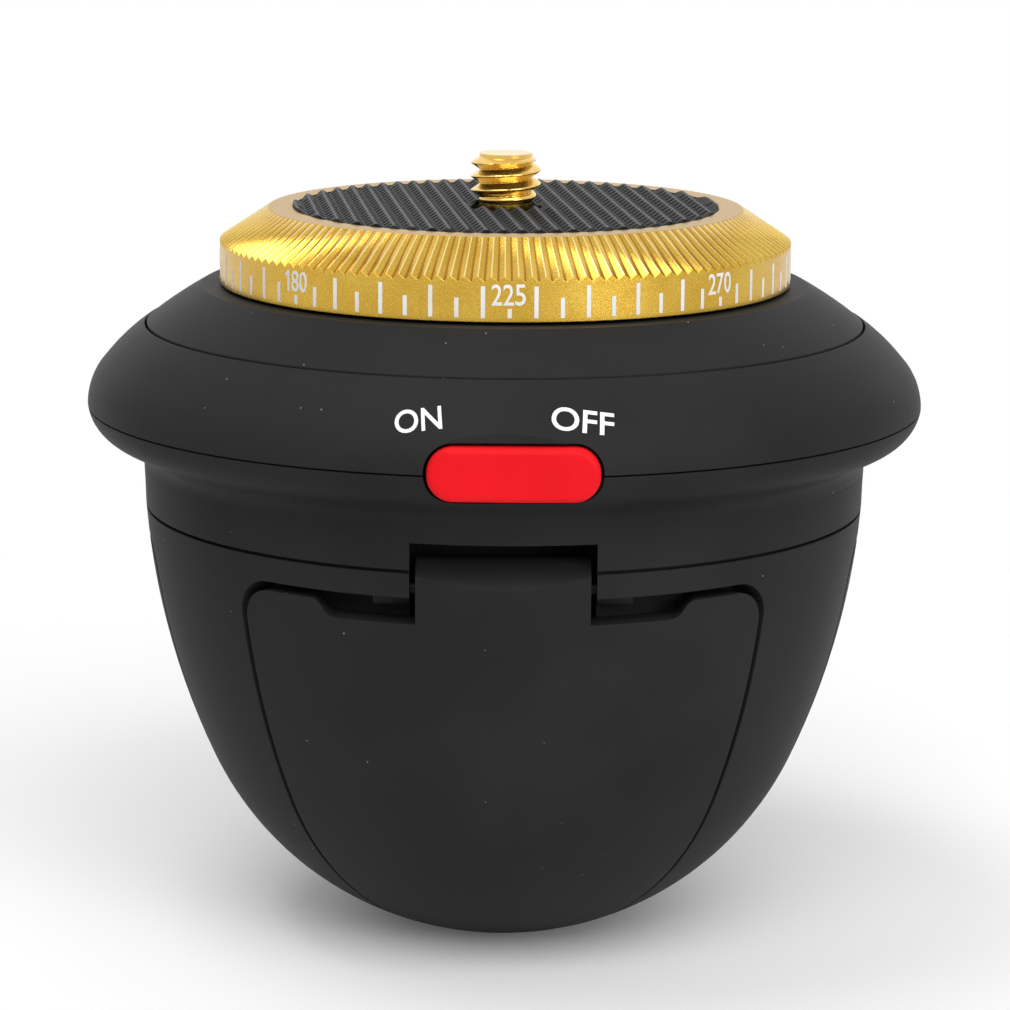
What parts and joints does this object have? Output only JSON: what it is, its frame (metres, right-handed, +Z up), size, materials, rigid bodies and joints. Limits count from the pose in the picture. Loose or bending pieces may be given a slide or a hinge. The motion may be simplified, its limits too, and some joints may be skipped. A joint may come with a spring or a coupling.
{
  "type": "motorized panoramic head",
  "caption": "Round battery-driven turntable for a camera on a bowl-shaped body, with a serrated degree dial, a camera screw, a rocker button and legs that fold out.",
  "frame": {"origin": "centre of the foot's flat underside", "axes": "+Z up along the turntable's axis; -Y faces the front with the button; +X to the right"},
  "size_m": [0.076, 0.076, 0.0715],
  "materials": {
    "black_plastic": "soft satin black moulding",
    "gold_anodised": "satin gold anodised",
    "gold_screw": "polished gold",
    "grip_rubber": "matte dark grey",
    "red_button": "matte red",
    "steel": "plain",
    "brass": "turned",
    "white_acetal": "plain moulded",
    "grey_chassis": "plain moulded",
    "green_board": "solder mask",
    "black_parts": "moulded component bodies",
    "battery_wrap": "shrink wrap over steel",
    "foam": "soft foam"
  },
  "bodies": {
    "body": {"base_shell": "black_plastic", "tripod_bush": "brass", "collar": "black_plastic", "upper_housing": "black_plastic", "top_cover": "black_plastic", "charge_socket": "steel", "chassis_plate": "grey_chassis", "bearing_outer_race": "steel", "motor_gearbox": "brass", "motor_can": "steel", "motor_end_cap": "white_acetal", "motor_screws": "steel", "battery_cell": "battery_wrap", "battery_pad": "foam", "main_board": "green_board", "board_components": "black_parts", "board_screws": "steel", "switch_board": "green_board", "tact_switches": "black_parts", "housing_screws": "steel", "base_screws": "steel", "hinge_pins": "steel"},
    "turntable": {"dial_ring": "gold_anodised", "grip_pad": "grip_rubber", "camera_screw": "gold_screw", "spindle": "steel", "drive_gear": "white_acetal", "bearing_inner_race": "steel", "retaining_ring": "steel", "dial_screws": "steel"},
    "ball_cage": {"bearing_cage": "steel", "bearing_balls": "steel"},
    "pinion": {"motor_shaft": "steel", "pinion_gear": "brass"},
    "switch": {"rocker_button": "red_button"},
    "leg_front": {"leg_front": "black_plastic"},
    "leg_right": {"leg_right": "black_plastic"},
    "leg_left": {"leg_left": "black_plastic"}
  },
  "joints": [
    {"name": "turntable_spin", "type": "hinge", "parent": "body", "child": "turntable", "pos_m": [0, 0, 0.05], "axis": [0, 0, 1], "continuous": true},
    {"name": "pinion_spin", "type": "hinge", "parent": "body", "child": "pinion", "pos_m": [0, 0.0165, 0.05], "axis": [0, 0, 1], "continuous": true},
    {"name": "cage_spin", "type": "hinge", "parent": "body", "child": "ball_cage", "pos_m": [0, 0, 0.05], "axis": [0, 0, 1], "continuous": true},
    {"name": "switch_rock", "type": "hinge", "parent": "body", "child": "switch", "pos_m": [0.0008, -0.0334, 0.0491], "axis": [0, 0, 1], "range_deg": [-2.5, 2.5], "stiffness_Nm_per_rad": 0.17},
    {"name": "leg_front_fold", "type": "hinge", "parent": "body", "child": "leg_front", "pos_m": [0, -0.0288, 0.0376], "axis": [-1, 0, 0], "range_deg": [0, 45]},
    {"name": "leg_right_fold", "type": "hinge", "parent": "body", "child": "leg_right", "pos_m": [0.02494, 0.0144, 0.0376], "axis": [0.5, -0.866, 0], "range_deg": [0, 45]},
    {"name": "leg_left_fold", "type": "hinge", "parent": "body", "child": "leg_left", "pos_m": [-0.02494, 0.0144, 0.0376], "axis": [0.5, 0.866, 0], "range_deg": [0, 45]}
  ],
  "couplings": [
    {"joint": "pinion_spin", "follows": "turntable_spin", "ratio": -4},
    {"joint": "cage_spin", "follows": "turntable_spin", "ratio": 0.457}
  ]
}
